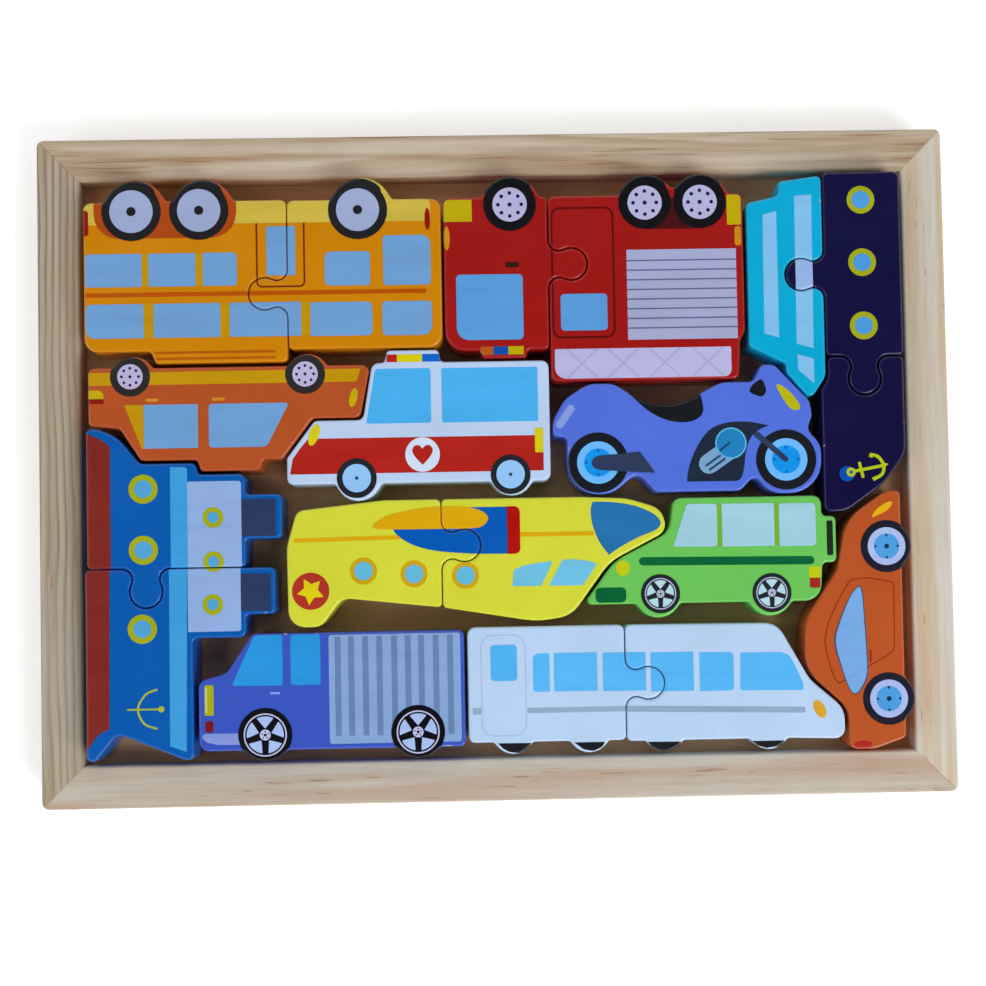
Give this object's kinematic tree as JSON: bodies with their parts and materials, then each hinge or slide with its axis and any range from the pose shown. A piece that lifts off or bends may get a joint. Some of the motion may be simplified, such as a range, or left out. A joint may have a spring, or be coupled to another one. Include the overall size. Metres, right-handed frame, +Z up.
{
  "type": "wooden tray puzzle",
  "caption": "Pine tray with a plywood floor that holds thick painted wooden vehicle blocks, cut to their outlines and locked by round knobs; each block lifts straight out.",
  "frame": {"origin": "on the table under the middle of the tray", "axes": "+X along the long rails to the picture's right, +Y towards the picture's top, +Z up out of the tray, the way the blocks lift"},
  "size_m": [0.3, 0.22, 0.022],
  "materials": {
    "pine": "sanded bare pine",
    "plywood": "sanded bare plywood",
    "steel": "plain bright steel",
    "bus_paint": "gloss paint on solid wood",
    "fire_engine_paint": "gloss paint on solid wood",
    "liner_cabin_paint": "gloss paint on solid wood",
    "liner_hull_paint": "gloss paint on solid wood",
    "taxi_paint": "gloss paint on solid wood",
    "ambulance_paint": "gloss paint on solid wood",
    "motorcycle_paint": "gloss paint on solid wood",
    "steamer_paint": "gloss paint on solid wood",
    "aeroplane_paint": "gloss paint on solid wood",
    "estate_car_paint": "gloss paint on solid wood",
    "lorry_paint": "gloss paint on solid wood",
    "train_paint": "gloss paint on solid wood",
    "sports_car_paint": "gloss paint on solid wood"
  },
  "bodies": {
    "tray": {"left_rail": "pine", "right_rail": "pine", "front_rail": "pine", "back_rail": "pine", "floor_board": "plywood", "corner_brads": "steel"},
    "bus_rear": {"bus_rear": "bus_paint"},
    "bus_front": {"bus_front": "bus_paint"},
    "fire_engine_cab": {"fire_engine_cab": "fire_engine_paint"},
    "fire_engine_body": {"fire_engine_body": "fire_engine_paint"},
    "liner_cabin": {"liner_cabin": "liner_cabin_paint"},
    "liner_stern": {"liner_stern": "liner_hull_paint"},
    "liner_bow": {"liner_bow": "liner_hull_paint"},
    "taxi": {"taxi": "taxi_paint"},
    "ambulance": {"ambulance": "ambulance_paint"},
    "motorcycle": {"motorcycle": "motorcycle_paint"},
    "steamer_stern": {"steamer_stern": "steamer_paint"},
    "steamer_bow": {"steamer_bow": "steamer_paint"},
    "aeroplane_tail": {"aeroplane_tail": "aeroplane_paint"},
    "aeroplane_nose": {"aeroplane_nose": "aeroplane_paint"},
    "estate_car": {"estate_car": "estate_car_paint"},
    "lorry": {"lorry": "lorry_paint"},
    "train_rear": {"train_rear": "train_paint"},
    "train_nose": {"train_nose": "train_paint"},
    "sports_car": {"sports_car": "sports_car_paint"}
  },
  "joints": [
    {"name": "bus_rear_lift", "type": "slide", "parent": "tray", "child": "bus_rear", "axis": [0, 0, 1], "range_m": [0, 0.03]},
    {"name": "bus_front_lift", "type": "slide", "parent": "tray", "child": "bus_front", "axis": [0, 0, 1], "range_m": [0, 0.03]},
    {"name": "fire_engine_cab_lift", "type": "slide", "parent": "tray", "child": "fire_engine_cab", "axis": [0, 0, 1], "range_m": [0, 0.03]},
    {"name": "fire_engine_body_lift", "type": "slide", "parent": "tray", "child": "fire_engine_body", "axis": [0, 0, 1], "range_m": [0, 0.03]},
    {"name": "liner_cabin_lift", "type": "slide", "parent": "tray", "child": "liner_cabin", "axis": [0, 0, 1], "range_m": [0, 0.03]},
    {"name": "liner_stern_lift", "type": "slide", "parent": "tray", "child": "liner_stern", "axis": [0, 0, 1], "range_m": [0, 0.03]},
    {"name": "liner_bow_lift", "type": "slide", "parent": "tray", "child": "liner_bow", "axis": [0, 0, 1], "range_m": [0, 0.03]},
    {"name": "taxi_lift", "type": "slide", "parent": "tray", "child": "taxi", "axis": [0, 0, 1], "range_m": [0, 0.03]},
    {"name": "ambulance_lift", "type": "slide", "parent": "tray", "child": "ambulance", "axis": [0, 0, 1], "range_m": [0, 0.03]},
    {"name": "motorcycle_lift", "type": "slide", "parent": "tray", "child": "motorcycle", "axis": [0, 0, 1], "range_m": [0, 0.03]},
    {"name": "steamer_stern_lift", "type": "slide", "parent": "tray", "child": "steamer_stern", "axis": [0, 0, 1], "range_m": [0, 0.03]},
    {"name": "steamer_bow_lift", "type": "slide", "parent": "tray", "child": "steamer_bow", "axis": [0, 0, 1], "range_m": [0, 0.03]},
    {"name": "aeroplane_tail_lift", "type": "slide", "parent": "tray", "child": "aeroplane_tail", "axis": [0, 0, 1], "range_m": [0, 0.03]},
    {"name": "aeroplane_nose_lift", "type": "slide", "parent": "tray", "child": "aeroplane_nose", "axis": [0, 0, 1], "range_m": [0, 0.03]},
    {"name": "estate_car_lift", "type": "slide", "parent": "tray", "child": "estate_car", "axis": [0, 0, 1], "range_m": [0, 0.03]},
    {"name": "lorry_lift", "type": "slide", "parent": "tray", "child": "lorry", "axis": [0, 0, 1], "range_m": [0, 0.03]},
    {"name": "train_rear_lift", "type": "slide", "parent": "tray", "child": "train_rear", "axis": [0, 0, 1], "range_m": [0, 0.03]},
    {"name": "train_nose_lift", "type": "slide", "parent": "tray", "child": "train_nose", "axis": [0, 0, 1], "range_m": [0, 0.03]},
    {"name": "sports_car_lift", "type": "slide", "parent": "tray", "child": "sports_car", "axis": [0, 0, 1], "range_m": [0, 0.03]}
  ]
}
